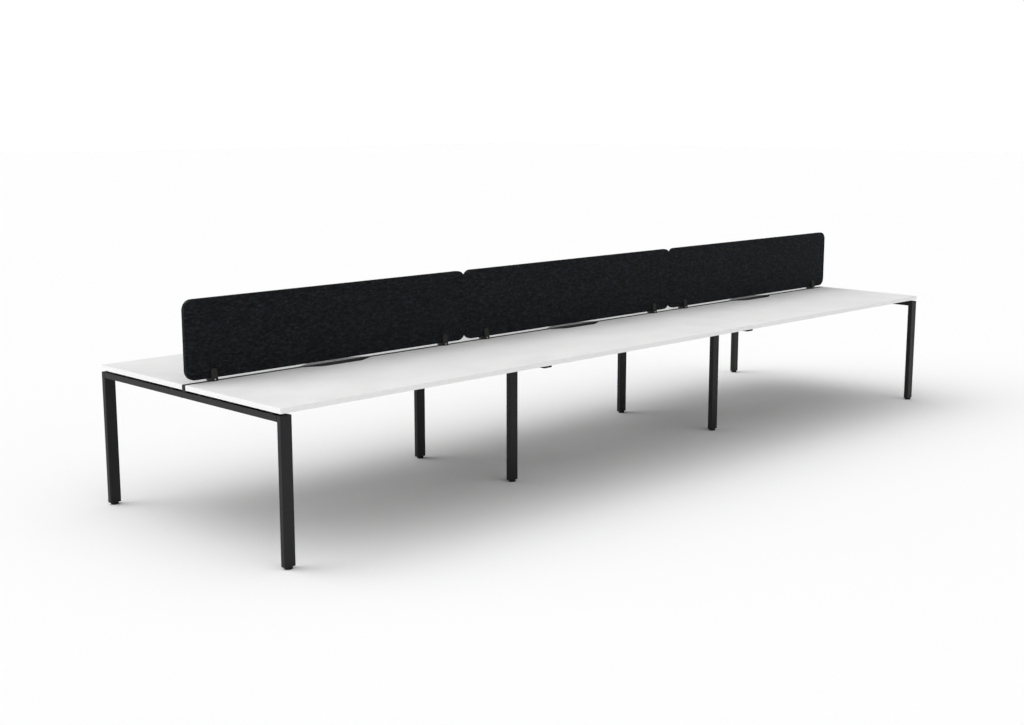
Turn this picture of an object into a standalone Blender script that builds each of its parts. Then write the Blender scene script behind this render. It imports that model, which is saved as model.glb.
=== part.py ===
"""Back-to-back bench workstation: three bays, two sides, with a fabric screen down the middle.

Metres, +Z up. The origin is on the floor under the middle of the bench, X runs along the
bench and -Y is the front side. The tops lie on the beams and on pads on the cross rails.
"""
import math

import bmesh
import bpy

# Overall sizes
BAY_NAMES = ("left", "middle", "right")
BAY_LENGTH = 1.800
TOP_DEPTH = 0.750
TOP_THICKNESS = 0.025
DESK_HEIGHT = 0.730
CENTRE_GAP = 0.030

# Clearances
FIT = 0.0003
TOP_SEAM = 0.0006
STEM_CLEARANCE = 0.0004

# Desktops
TOP_EDGE_ROUND = 0.0015
TOP_CORNER_RADIUS = 0.003
SCALLOP_MOUTH = 0.440
SCALLOP_FLOOR = 0.240
SCALLOP_DEPTH = 0.050
SCALLOP_INNER_RADIUS = 0.045
SCALLOP_OUTER_RADIUS = 0.018

# Frame tube, one section for the legs and the cross rails
TUBE_WIDE = 0.060
TUBE_NARROW = 0.030
TUBE_WALL = 0.002
TUBE_CORNER = 0.004
FRAME_DROP = 0.010
LEG_LIFT = 0.011
LEG_BASE_PLATE = 0.008
LEG_TOP_PLATE = 0.002
MIDDLE_LEG_OFFSET = 0.380
MIDDLE_RAIL_HALF = 0.648

# Plastic caps in the ends of the middle cross rails
CAP_FACE = 0.003
CAP_PLUG = 0.014

# Pads that carry the tops on the cross rails
PAD_LENGTH = 0.050
PAD_WIDTH = 0.024
PAD_END_RADIUS = 0.010
PAD_INNER_OFFSET = 0.120
PAD_END_INSET = 0.045
PAD_SCREW_RADIUS = 0.0028
PAD_SCREW_SPACING = 0.026
ACCESS_LENGTH = 0.040
ACCESS_WIDTH = 0.014
ACCESS_CORNER = 0.005

# Beams along the bench
BEAM_HEIGHT = 0.040
BEAM_WIDTH = 0.024
BEAM_WALL = 0.002
BEAM_CORNER = 0.003
BEAM_BORE_CORNER = 0.0015
BEAM_OFFSET = 0.380
FLANGE_WIDTH = 0.080
FLANGE_HEIGHT = 0.030
FLANGE_THICKNESS = 0.004
FLANGE_CORNER = 0.004
FLANGE_BOLT_RADIUS = 0.0035
FLANGE_BOLT_SPACING = 0.056

# Centre rail that closes the gap between the two sides
CENTRE_WALL = 0.0018
CENTRE_WEB = 0.002
CENTRE_CORNER = 0.001
CENTRE_CAP_FACE = 0.0025
CENTRE_CAP_PLUG = 0.012

# Levelling feet
FOOT_RADIUS = 0.020
FOOT_ROUND = 0.002
FOOT_SHOULDER = 0.001
STEM_RADIUS = 0.004
STEM_LENGTH = 0.034
STEM_TIP = 0.001

# Screens
SCREEN_THICKNESS = 0.025
SCREEN_LIFT = 0.015
SCREEN_TOP = 1.130
SCREEN_CORNER = 0.050
SCREEN_EDGE_ROUND = 0.002
SCREEN_JOINT = 0.001
SCREEN_END_INSET = 0.010

# Screen brackets
BRACKET_WIDTH = 0.034
BRACKET_DEPTH = 0.052
BRACKET_HEIGHT = 0.060
BRACKET_INSET = 0.158
JAW_TIP = 0.005
JAW_TIP_ROUND = 0.0022
JAW_CORNER_RADIUS = 0.007
JAW_FOOT_HEIGHT = 0.0145
SLOT_FILLET = 0.002
SLIT_WIDTH = 0.002
SLIT_FLOOR = 0.0035

# Bolt that draws each bracket together
BOLT_HEIGHT = 0.0092
BOLT_RADIUS = 0.0025
BOLT_HOLE_RADIUS = 0.0028
BOLT_HEAD_RADIUS = 0.0045
BOLT_HEAD_HEIGHT = 0.0030
BOLT_DOME_HEIGHT = 0.0012
BOLT_CROWN_RADIUS = 0.0028
BOLT_RECESS_RADIUS = 0.0050
BOLT_RECESS_DEPTH = 0.0010

# Facet counts
CORNER_STEPS = 2
SCREEN_CORNER_STEPS = 7
FILLET_STEPS = 4
JAW_STEPS = 3
FOOT_SIDES = 18
HOLE_SIDES = 8
BOLT_SIDES = 10

# Levels worked out from the sizes above
BAYS = len(BAY_NAMES)
BENCH_HALF = BAYS * BAY_LENGTH / 2
GAP_HALF = CENTRE_GAP / 2
BENCH_DEPTH_HALF = GAP_HALF + TOP_DEPTH
TOP_UNDERSIDE = DESK_HEIGHT - TOP_THICKNESS
FRAME_TOP = TOP_UNDERSIDE - FRAME_DROP
RAIL_BOTTOM = FRAME_TOP - TUBE_NARROW
FOOT_HEIGHT = LEG_LIFT - FIT
END_FRAME_X = BENCH_HALF - TUBE_WIDE / 2
END_LEG_Y = BENCH_DEPTH_HALF - TUBE_NARROW / 2
SCREEN_BOTTOM = DESK_HEIGHT + SCREEN_LIFT
RAIL_MIDDLE = FRAME_TOP - TUBE_NARROW / 2
MIDDLE_FRAME_X = BAY_LENGTH / 2
BEAM_MIDDLE = TOP_UNDERSIDE - FIT - BEAM_HEIGHT / 2
CENTRE_RAIL_WIDTH = CENTRE_GAP - 2 * FIT
CENTRE_RAIL_BOTTOM = FRAME_TOP + FIT
CENTRE_RAIL_TOP = DESK_HEIGHT - FIT
CENTRE_RAIL_MIDDLE = (CENTRE_RAIL_TOP + CENTRE_RAIL_BOTTOM) / 2
SIDES = (("front", -1), ("back", 1))


def clear_scene():
    """Empty the scene, so that only the bench is in it."""
    for thing in list(bpy.data.objects):
        bpy.data.objects.remove(thing, do_unlink=True)


def make_material(name, colour, roughness, metallic=0.0):
    """Return a plain Principled material."""
    material = bpy.data.materials.new(name)
    material.use_nodes = True
    shader = material.node_tree.nodes["Principled BSDF"]
    shader.inputs["Base Color"].default_value = (*colour, 1.0)
    shader.inputs["Roughness"].default_value = roughness
    shader.inputs["Metallic"].default_value = metallic
    return material


def add_object(name, bm, material, location=(0, 0, 0)):
    """Turn a bmesh into a named object with its faces pointing out."""
    bmesh.ops.recalc_face_normals(bm, faces=bm.faces)
    mesh = bpy.data.meshes.new(name)
    bm.to_mesh(mesh)
    bm.free()
    mesh.shade_smooth()
    mesh.set_sharp_from_angle(angle=math.radians(30))
    thing = bpy.data.objects.new(name, mesh)
    thing.location = location
    bpy.context.collection.objects.link(thing)
    if material is not None:
        mesh.materials.append(material)
    return thing


def copy_object(source, name, location):
    """Return another object that shares the mesh and the modifiers of the first."""
    thing = source.copy()
    thing.name = name
    thing.location = location
    bpy.context.collection.objects.link(thing)
    return thing


def mark_guide(thing):
    """Keep a cutter or a joined-on shape out of the model."""
    thing.hide_render = True
    thing.display_type = "WIRE"


def boolean(target, tool, operation):
    """Cut the tool's shape from the target, or join or intersect it, and drop the tool."""
    mark_guide(tool)
    modifier = target.modifiers.new(tool.name, "BOOLEAN")
    modifier.object = tool
    modifier.operation = operation
    modifier.solver = "EXACT"
    settle(target)
    bpy.data.objects.remove(tool, do_unlink=True)


def settle(target):
    """Turn what the modifiers make into the target's own mesh, with its hard edges marked."""
    depsgraph = bpy.context.evaluated_depsgraph_get()
    mesh = bpy.data.meshes.new_from_object(target.evaluated_get(depsgraph))
    mesh.shade_smooth()
    mesh.set_sharp_from_angle(angle=math.radians(30))
    target.modifiers.clear()
    target.data = mesh


def bevel(target, width, segments):
    """Round the sharp edges of a target."""
    modifier = target.modifiers.new("rounded_edges", "BEVEL")
    modifier.width = width
    modifier.segments = segments
    modifier.limit_method = "ANGLE"
    modifier.angle_limit = math.radians(50)


def arc(centre, radius, start, stop, steps):
    """Return the points of an arc, both ends included, in degrees."""
    points = []
    for step in range(steps + 1):
        angle = math.radians(start + (stop - start) * step / steps)
        points.append((centre[0] + radius * math.cos(angle), centre[1] + radius * math.sin(angle)))
    return points


def rounded_rectangle(width, height, radius, steps):
    """Return an outline round the origin, anticlockwise from the right side."""
    x = width / 2 - radius
    y = height / 2 - radius
    points = []
    for centre, start in (((x, y), 0), ((-x, y), 90), ((-x, -y), 180), ((x, -y), 270)):
        points += arc(centre, radius, start, start + 90, steps)
    return points


def circle(radius, sides):
    """Return a circle whose points start half a side past the X axis."""
    turn = 2 * math.pi / sides
    return [(radius * math.cos((i + 0.5) * turn), radius * math.sin((i + 0.5) * turn))
            for i in range(sides)]


def fillet(corner, before, after, radius, steps):
    """Return the arc that rounds a corner between its two neighbours."""
    ax, ay = before[0] - corner[0], before[1] - corner[1]
    bx, by = after[0] - corner[0], after[1] - corner[1]
    a_length, b_length = math.hypot(ax, ay), math.hypot(bx, by)
    ax, ay, bx, by = ax / a_length, ay / a_length, bx / b_length, by / b_length
    half = math.acos(max(-1.0, min(1.0, ax * bx + ay * by))) / 2
    reach = radius / math.tan(half)
    mx, my = ax + bx, ay + by
    scale = radius / math.sin(half) / math.hypot(mx, my)
    centre = (corner[0] + mx * scale, corner[1] + my * scale)
    first = (corner[0] + ax * reach, corner[1] + ay * reach)
    last = (corner[0] + bx * reach, corner[1] + by * reach)
    start = math.degrees(math.atan2(first[1] - centre[1], first[0] - centre[0]))
    stop = math.degrees(math.atan2(last[1] - centre[1], last[0] - centre[0]))
    sweep = (stop - start + 180) % 360 - 180
    return arc(centre, radius, start, start + sweep, steps)


def rounded_outline(corners, steps=FILLET_STEPS):
    """Return an outline from (point, radius) pairs, each corner rounded by its radius."""
    points = []
    count = len(corners)
    for i, (corner, radius) in enumerate(corners):
        if radius == 0:
            points.append(corner)
            continue
        before = corners[i - 1][0]
        after = corners[(i + 1) % count][0]
        points += fillet(corner, before, after, radius, steps)
    return points


def place(point, level, axis):
    """Put an outline point at a level along an axis: x keeps (y, z), y (x, z) and z (x, y)."""
    if axis == "x":
        return (level, point[0], point[1])
    if axis == "y":
        return (point[0], level, point[1])
    return (point[0], point[1], level)


def add_loft(bm, rings, axis, closed=False):
    """Bridge rings of equal counts, given as (outline, level), with flat ends or as a loop."""
    loops = []
    for outline, level in rings:
        loops.append([bm.verts.new(place(point, level, axis)) for point in outline])
    pairs = list(zip(loops, loops[1:]))
    if closed:
        pairs.append((loops[-1], loops[0]))
    for low, high in pairs:
        for i in range(len(low)):
            j = (i + 1) % len(low)
            bm.faces.new((low[i], low[j], high[j], high[i]))
    if not closed:
        bm.faces.new(loops[0])
        bm.faces.new(loops[-1])


def loft(rings, axis, closed=False):
    """Return one lofted form as a new bmesh."""
    bm = bmesh.new()
    add_loft(bm, rings, axis, closed)
    return bm


def shifted(outline, du, dv):
    """Return an outline moved in its own plane."""
    return [(u + du, v + dv) for u, v in outline]


def bay_centre(index):
    """Return the X of a bay's middle."""
    return (index - (BAYS - 1) / 2) * BAY_LENGTH


def bay_span(index, end_value, joint_gap):
    """Return the two ends of a piece that fills a bay, with half a gap at each inner joint."""
    centre = bay_centre(index)
    low = -end_value if index == 0 else centre - BAY_LENGTH / 2 + joint_gap / 2
    high = end_value if index == BAYS - 1 else centre + BAY_LENGTH / 2 - joint_gap / 2
    return low, high


# Desktops
def desktop_outline(low, high, centre):
    """Return a front top seen from above, with the cable scallop in its inner edge."""
    inner = -GAP_HALF
    outer = -BENCH_DEPTH_HALF
    floor = inner - SCALLOP_DEPTH
    mouth = SCALLOP_MOUTH / 2
    flat = SCALLOP_FLOOR / 2
    return rounded_outline([
        ((low, outer), TOP_CORNER_RADIUS),
        ((high, outer), TOP_CORNER_RADIUS),
        ((high, inner), 0),
        ((centre + mouth, inner), SCALLOP_OUTER_RADIUS),
        ((centre + flat, floor), SCALLOP_INNER_RADIUS),
        ((centre - flat, floor), SCALLOP_INNER_RADIUS),
        ((centre - mouth, inner), SCALLOP_OUTER_RADIUS),
        ((low, inner), 0),
    ])


def build_desktops(material):
    """Lay three tops along each side of the bench."""
    for index, bay in enumerate(BAY_NAMES):
        low, high = bay_span(index, BENCH_HALF, TOP_SEAM)
        outline = desktop_outline(low, high, bay_centre(index))
        for side, sign in SIDES:
            turned = outline if sign < 0 else [(x, -y) for x, y in outline]
            bm = loft([(turned, TOP_UNDERSIDE), (turned, DESK_HEIGHT)], "z")
            top = add_object(f"desktop_{side}_{bay}", bm, material)
            bevel(top, TOP_EDGE_ROUND, 1)


# Legs
def tube_outline(width, depth, inset=0.0):
    """Return the outline of the frame tube, or of its bore when inset by the wall."""
    radius = max(TUBE_CORNER - inset, TUBE_CORNER / 4)
    return rounded_rectangle(width - 2 * inset, depth - 2 * inset, radius, CORNER_STEPS)


def leg_form(top, closed_top):
    """Return a leg: a tube with a threaded plate in its foot and, if asked, a lid on top."""
    outer = tube_outline(TUBE_WIDE, TUBE_NARROW)
    bore = tube_outline(TUBE_WIDE, TUBE_NARROW, TUBE_WALL)
    hole = circle(STEM_RADIUS + STEM_CLEARANCE, len(outer))
    plate = LEG_LIFT + LEG_BASE_PLATE
    rings = [(outer, top), (outer, LEG_LIFT), (hole, LEG_LIFT), (hole, plate), (bore, plate)]
    if closed_top:
        rings.append((bore, top - LEG_TOP_PLATE))
    else:
        rings.append((bore, top))
    return loft(rings, "z", closed=not closed_top)


def leg_places():
    """Return each leg's name, X, Y and whether it stands in an end frame."""
    places = []
    frames = (("left", -END_FRAME_X), ("right", END_FRAME_X))
    for frame, x in frames:
        for side, sign in SIDES:
            places.append((f"end_leg_{side}_{frame}", x, sign * END_LEG_Y, True))
    for frame, x in (("left", -MIDDLE_FRAME_X), ("right", MIDDLE_FRAME_X)):
        for side, sign in SIDES:
            places.append((f"middle_leg_{side}_{frame}", x, sign * MIDDLE_LEG_OFFSET, False))
    return places


def build_legs(material):
    """Stand the eight legs."""
    end_leg = None
    middle_leg = None
    for name, x, y, is_end in leg_places():
        if is_end and end_leg is None:
            end_leg = add_object(name, leg_form(FRAME_TOP, True), material, (x, y, 0))
        elif is_end:
            copy_object(end_leg, name, (x, y, 0))
        elif middle_leg is None:
            form = leg_form(RAIL_BOTTOM - FIT, False)
            middle_leg = add_object(name, form, material, (x, y, 0))
        else:
            copy_object(middle_leg, name, (x, y, 0))


# Cross rails
def cross_rail_guides(half_length):
    """Return the pads of a cross rail, and the cutter for their screw and access holes."""
    pads = bmesh.new()
    holes = bmesh.new()
    outline = rounded_rectangle(PAD_LENGTH, PAD_WIDTH, PAD_END_RADIUS, 1)
    screw = circle(PAD_SCREW_RADIUS, HOLE_SIDES)
    access = rounded_rectangle(ACCESS_LENGTH, ACCESS_WIDTH, ACCESS_CORNER, 1)
    for offset in (PAD_INNER_OFFSET, half_length - PAD_END_INSET):
        for sign in (-1, 1):
            y = sign * offset
            pad = shifted(outline, 0, y)
            add_loft(pads, [(pad, FRAME_TOP - TUBE_WALL / 2), (pad, TOP_UNDERSIDE - FIT)], "z")
            slot = shifted(access, 0, y)
            add_loft(holes, [(slot, RAIL_BOTTOM - TUBE_WALL),
                             (slot, RAIL_BOTTOM + 2 * TUBE_WALL)], "z")
            for step in (-1, 1):
                hole = shifted(screw, step * PAD_SCREW_SPACING / 2, y)
                add_loft(holes, [(hole, FRAME_TOP - 2 * TUBE_WALL), (hole, DESK_HEIGHT)], "z")
    return add_object("pads", pads, None), add_object("pad_holes", holes, None)


def build_cross_rail(name, half_length, material):
    """Make a cross rail, an open tube with the pads for the tops welded along it."""
    outer = shifted(tube_outline(TUBE_WIDE, TUBE_NARROW), 0, RAIL_MIDDLE)
    bore = shifted(tube_outline(TUBE_WIDE, TUBE_NARROW, TUBE_WALL), 0, RAIL_MIDDLE)
    rings = [(outer, -half_length), (outer, half_length), (bore, half_length), (bore, -half_length)]
    rail = add_object(name, loft(rings, "y", closed=True), material)
    pads, holes = cross_rail_guides(half_length)
    boolean(rail, pads, "UNION")
    boolean(rail, holes, "DIFFERENCE")
    return rail


def build_cross_rails(material):
    """Join each pair of legs across the bench."""
    end_half = END_LEG_Y - TUBE_NARROW / 2 - FIT
    middle_half = MIDDLE_RAIL_HALF - CAP_FACE - FIT
    for kind, x, half_length in (("end", END_FRAME_X, end_half),
                                 ("middle", MIDDLE_FRAME_X, middle_half)):
        rail = build_cross_rail(f"{kind}_rail_left", half_length, material)
        rail.location.x = -x
        copy_object(rail, f"{kind}_rail_right", (x, 0, 0))


def build_rail_caps(material):
    """Plug the open ends of the middle cross rails."""
    face = shifted(tube_outline(TUBE_WIDE, TUBE_NARROW), 0, RAIL_MIDDLE)
    plug = shifted(tube_outline(TUBE_WIDE, TUBE_NARROW, TUBE_WALL + FIT), 0, RAIL_MIDDLE)
    for side, sign in SIDES:
        outside = sign * MIDDLE_RAIL_HALF
        seat = outside - sign * CAP_FACE
        tip = seat - sign * CAP_PLUG
        bm = loft([(face, outside), (face, seat), (plug, seat), (plug, tip)], "y")
        cap = add_object(f"rail_cap_{side}_left", bm, material, (-MIDDLE_FRAME_X, 0, 0))
        copy_object(cap, f"rail_cap_{side}_right", (MIDDLE_FRAME_X, 0, 0))


# Beams
def beam_guides(low, high):
    """Return the bolting flanges of a beam, and the cutter for its bore and bolt holes."""
    flanges = bmesh.new()
    plate = rounded_rectangle(FLANGE_WIDTH, FLANGE_HEIGHT, FLANGE_CORNER, 1)
    plate = shifted(plate, 0, RAIL_MIDDLE)
    cuts = bmesh.new()
    bore = rounded_rectangle(BEAM_WIDTH - 2 * BEAM_WALL, BEAM_HEIGHT - 2 * BEAM_WALL,
                             BEAM_BORE_CORNER, 1)
    bore = shifted(bore, 0, BEAM_MIDDLE)
    add_loft(cuts, [(bore, low - FLANGE_THICKNESS), (bore, high + FLANGE_THICKNESS)], "x")
    for end, inward in ((low, 1), (high, -1)):
        add_loft(flanges, [(plate, end), (plate, end + inward * FLANGE_THICKNESS)], "x")
        for step in (-1, 1):
            hole = circle(FLANGE_BOLT_RADIUS, HOLE_SIDES)
            hole = shifted(hole, step * FLANGE_BOLT_SPACING / 2, RAIL_MIDDLE)
            add_loft(cuts, [(hole, end - inward * FLANGE_THICKNESS),
                            (hole, end + 2 * inward * FLANGE_THICKNESS)], "x")
    return add_object("flanges", flanges, None), add_object("beam_cuts", cuts, None)


def build_beams(material):
    """Tie the cross rails together along both sides, close under the tops."""
    outer = rounded_rectangle(BEAM_WIDTH, BEAM_HEIGHT, BEAM_CORNER, 1)
    outer = shifted(outer, 0, BEAM_MIDDLE)
    for index, bay in enumerate(BAY_NAMES):
        low, high = bay_span(index, BENCH_HALF - TUBE_WIDE - FIT, TUBE_WIDE + 2 * FIT)
        form = loft([(outer, low), (outer, high)], "x")
        beam = add_object(f"beam_front_{bay}", form, material)
        flanges, cuts = beam_guides(low, high)
        boolean(beam, flanges, "UNION")
        boolean(beam, cuts, "DIFFERENCE")
        beam.location.y = -BEAM_OFFSET
        copy_object(beam, f"beam_back_{bay}", (0, BEAM_OFFSET, 0))


# Centre rail
def chamber_outlines(shrink):
    """Return the outlines of the centre rail's two chambers, drawn in by a clearance."""
    width = CENTRE_RAIL_WIDTH - 2 * CENTRE_WALL
    height = (CENTRE_RAIL_TOP - CENTRE_RAIL_BOTTOM - 2 * CENTRE_WALL - CENTRE_WEB) / 2
    chamber = rounded_rectangle(width - 2 * shrink, height - 2 * shrink, CENTRE_CORNER, 1)
    rise = (height + CENTRE_WEB) / 2
    return [shifted(chamber, 0, CENTRE_RAIL_MIDDLE + sign * rise) for sign in (-1, 1)]


def centre_face():
    """Return the outline of the centre rail."""
    height = CENTRE_RAIL_TOP - CENTRE_RAIL_BOTTOM
    outline = rounded_rectangle(CENTRE_RAIL_WIDTH, height, CENTRE_CORNER, 1)
    return shifted(outline, 0, CENTRE_RAIL_MIDDLE)


def build_centre_rails(material):
    """Fill the gap between the tops with a two-chamber extrusion in three lengths."""
    outer = centre_face()
    for index, bay in enumerate(BAY_NAMES):
        low, high = bay_span(index, BENCH_HALF - CENTRE_CAP_FACE - FIT, TOP_SEAM)
        form = loft([(outer, low), (outer, high)], "x")
        rail = add_object(f"centre_rail_{bay}", form, material)
        cuts = bmesh.new()
        for chamber in chamber_outlines(0):
            add_loft(cuts, [(chamber, low - CENTRE_WALL), (chamber, high + CENTRE_WALL)], "x")
        boolean(rail, add_object("chambers", cuts, None), "DIFFERENCE")


def build_centre_caps(material):
    """Close the two outer ends of the centre rail."""
    face = centre_face()
    for frame, sign in (("left", -1), ("right", 1)):
        outside = sign * BENCH_HALF
        seat = outside - sign * CENTRE_CAP_FACE
        tip = seat - sign * CENTRE_CAP_PLUG
        cap = add_object(f"centre_rail_cap_{frame}", loft([(face, outside), (face, seat)], "x"),
                         material)
        plugs = bmesh.new()
        for plug in chamber_outlines(FIT):
            add_loft(plugs, [(plug, seat + sign * CENTRE_CAP_FACE / 2), (plug, tip)], "x")
        boolean(cap, add_object("plugs", plugs, None), "UNION")


# Levelling feet
def foot_profile():
    """Return the foot's profile from the floor up as (radius, height)."""
    stem_top = FOOT_HEIGHT + STEM_LENGTH
    return [
        (FOOT_RADIUS - FOOT_ROUND, 0),
        (FOOT_RADIUS, FOOT_ROUND),
        (FOOT_RADIUS, FOOT_HEIGHT - FOOT_SHOULDER),
        (FOOT_RADIUS - FOOT_SHOULDER, FOOT_HEIGHT),
        (STEM_RADIUS, FOOT_HEIGHT),
        (STEM_RADIUS, stem_top - STEM_TIP),
        (STEM_RADIUS - STEM_TIP, stem_top),
    ]


def build_feet(material):
    """Screw a levelling foot into each leg, turned home against the leg's plate."""
    first = None
    for leg_name, x, y, _is_end in leg_places():
        name = leg_name.replace("leg", "foot")
        if first is None:
            rings = [(circle(radius, FOOT_SIDES), height) for radius, height in foot_profile()]
            first = add_object(name, loft(rings, "z"), material, (x, y, 0))
        else:
            copy_object(first, name, (x, y, 0))


# Screens
def build_screens(material):
    """Stand one padded screen over each bay, end to end down the middle."""
    height = SCREEN_TOP - SCREEN_BOTTOM
    middle = (SCREEN_TOP + SCREEN_BOTTOM) / 2
    for index, bay in enumerate(BAY_NAMES):
        low, high = bay_span(index, BENCH_HALF - SCREEN_END_INSET, SCREEN_JOINT)
        outline = rounded_rectangle(high - low, height, SCREEN_CORNER, SCREEN_CORNER_STEPS)
        outline = shifted(outline, (low + high) / 2, middle)
        half = SCREEN_THICKNESS / 2
        screen = add_object(f"screen_{bay}", loft([(outline, -half), (outline, half)], "y"), material)
        bevel(screen, SCREEN_EDGE_ROUND, 2)


# Screen brackets
def bracket_side_outline():
    """Return the fork seen from the end of the bench: a split foot with two tapering jaws."""
    foot = BRACKET_DEPTH / 2
    slot = SCREEN_THICKNESS / 2 + FIT
    tip = slot + JAW_TIP
    floor = SCREEN_LIFT - 2 * FIT
    slit = SLIT_WIDTH / 2
    return rounded_outline([
        ((-foot, 0), 0),
        ((foot, 0), 0),
        ((foot, JAW_FOOT_HEIGHT), JAW_TIP_ROUND),
        ((tip, BRACKET_HEIGHT), JAW_TIP_ROUND),
        ((slot, BRACKET_HEIGHT), 0),
        ((slot, floor), SLOT_FILLET),
        ((slit, floor), 0),
        ((slit, SLIT_FLOOR), 0),
        ((-slit, SLIT_FLOOR), 0),
        ((-slit, floor), 0),
        ((-slot, floor), SLOT_FILLET),
        ((-slot, BRACKET_HEIGHT), 0),
        ((-tip, BRACKET_HEIGHT), JAW_TIP_ROUND),
        ((-foot, JAW_FOOT_HEIGHT), JAW_TIP_ROUND),
    ], JAW_STEPS)


def bracket_front_outline():
    """Return the bracket seen from the front, with its rounded upper corners."""
    half = BRACKET_WIDTH / 2
    return rounded_outline([
        ((-half, -BRACKET_HEIGHT), 0),
        ((half, -BRACKET_HEIGHT), 0),
        ((half, BRACKET_HEIGHT), JAW_CORNER_RADIUS),
        ((-half, BRACKET_HEIGHT), JAW_CORNER_RADIUS),
    ])


def bolt_bore():
    """Return the cutter for the bolt hole and the shallow seats at its two ends."""
    hole = shifted(circle(BOLT_HOLE_RADIUS, BOLT_SIDES), 0, BOLT_HEIGHT)
    seat = shifted(circle(BOLT_RECESS_RADIUS, BOLT_SIDES), 0, BOLT_HEIGHT)
    floor = BRACKET_DEPTH / 2 - BOLT_RECESS_DEPTH
    rings = [(seat, -BRACKET_DEPTH), (seat, -floor), (hole, -floor),
             (hole, floor), (seat, floor), (seat, BRACKET_DEPTH)]
    return add_object("bolt_bore", loft(rings, "y"), None)


def bolt_rings():
    """Return the rings of the bolt, from its head to its domed nut, along Y."""
    seat = BRACKET_DEPTH / 2 - BOLT_RECESS_DEPTH + FIT
    end = seat + BOLT_HEAD_HEIGHT
    half = [
        (BOLT_RADIUS, seat),
        (BOLT_HEAD_RADIUS, seat),
        (BOLT_HEAD_RADIUS, end - BOLT_DOME_HEIGHT),
        (BOLT_CROWN_RADIUS, end),
    ]
    profile = [(radius, -along) for radius, along in reversed(half)] + half
    return [(shifted(circle(radius, BOLT_SIDES), 0, BOLT_HEIGHT), along)
            for radius, along in profile]


def build_brackets(material, bolt_material):
    """Clamp each screen in two forks that stand on the centre rail."""
    base = DESK_HEIGHT + FIT
    half = BRACKET_WIDTH / 2
    side = bracket_side_outline()
    front = bracket_front_outline()
    bracket = None
    for index, bay in enumerate(BAY_NAMES):
        for number, sign in ((1, -1), (2, 1)):
            ending = f"{bay}_{number}"
            at = (bay_centre(index) + sign * (BAY_LENGTH / 2 - BRACKET_INSET), 0, base)
            if bracket is not None:
                copy_object(bracket, f"screen_bracket_{ending}", at)
                copy_object(bolt, f"bracket_bolt_{ending}", at)
                continue
            form = loft([(side, -half), (side, half)], "x")
            bracket = add_object(f"screen_bracket_{ending}", form, material)
            arch = loft([(front, -BRACKET_DEPTH), (front, BRACKET_DEPTH)], "y")
            boolean(bracket, add_object("arch", arch, None), "INTERSECT")
            boolean(bracket, bolt_bore(), "DIFFERENCE")
            bracket.location = at
            bolt = add_object(f"bracket_bolt_{ending}", loft(bolt_rings(), "y"), bolt_material, at)


def main():
    """Build the whole bench."""
    clear_scene()
    white_board = make_material("white_board", (0.86, 0.86, 0.85), 0.45)
    black_steel = make_material("black_powder_coat", (0.030, 0.030, 0.032), 0.50, 0.2)
    black_plastic = make_material("black_plastic", (0.020, 0.020, 0.021), 0.55)
    charcoal_fabric = make_material("charcoal_fabric", (0.013, 0.014, 0.016), 0.95)
    bracket_grey = make_material("bracket_grey", (0.030, 0.030, 0.028), 0.45, 0.3)
    bright_zinc = make_material("bright_zinc", (0.62, 0.62, 0.61), 0.30, 1.0)
    build_desktops(white_board)
    build_legs(black_steel)
    build_cross_rails(black_steel)
    build_rail_caps(black_plastic)
    build_beams(black_steel)
    build_centre_rails(black_steel)
    build_centre_caps(black_plastic)
    build_feet(black_plastic)
    build_screens(charcoal_fabric)
    build_brackets(bracket_grey, bright_zinc)


main()
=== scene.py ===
"""The back-to-back bench workstation, dressed for a studio picture.

Metres, +Z up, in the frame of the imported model. Each piece stands where its CAD node
stands, with finer edges, small fasteners and a material of its own.
"""
import math

import bmesh
import bpy
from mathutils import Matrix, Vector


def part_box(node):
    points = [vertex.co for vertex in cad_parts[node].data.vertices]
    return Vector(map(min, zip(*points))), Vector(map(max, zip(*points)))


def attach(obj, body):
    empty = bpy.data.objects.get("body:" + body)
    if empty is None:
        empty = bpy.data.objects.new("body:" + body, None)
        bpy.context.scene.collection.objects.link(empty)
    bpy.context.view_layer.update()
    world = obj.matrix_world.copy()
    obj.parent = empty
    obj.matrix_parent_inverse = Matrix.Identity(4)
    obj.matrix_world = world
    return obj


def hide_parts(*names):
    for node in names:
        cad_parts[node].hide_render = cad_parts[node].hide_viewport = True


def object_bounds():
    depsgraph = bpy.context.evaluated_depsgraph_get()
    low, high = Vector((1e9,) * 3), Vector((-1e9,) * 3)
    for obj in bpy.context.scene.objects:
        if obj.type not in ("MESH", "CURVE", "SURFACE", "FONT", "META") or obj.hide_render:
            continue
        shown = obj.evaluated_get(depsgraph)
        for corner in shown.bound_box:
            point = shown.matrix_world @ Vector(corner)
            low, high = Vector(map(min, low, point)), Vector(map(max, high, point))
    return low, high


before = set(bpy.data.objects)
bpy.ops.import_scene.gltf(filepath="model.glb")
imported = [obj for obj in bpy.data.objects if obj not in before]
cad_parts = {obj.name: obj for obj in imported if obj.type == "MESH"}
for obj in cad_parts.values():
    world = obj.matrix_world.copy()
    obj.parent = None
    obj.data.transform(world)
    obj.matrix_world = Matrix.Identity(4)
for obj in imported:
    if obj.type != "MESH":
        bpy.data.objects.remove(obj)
cad_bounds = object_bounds()

# Names
BAYS = ("left", "middle", "right")
SIDES = (("front", -1), ("back", 1))
ENDS = (("left", -1), ("right", 1))
KINDS = ("end", "middle")

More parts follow.
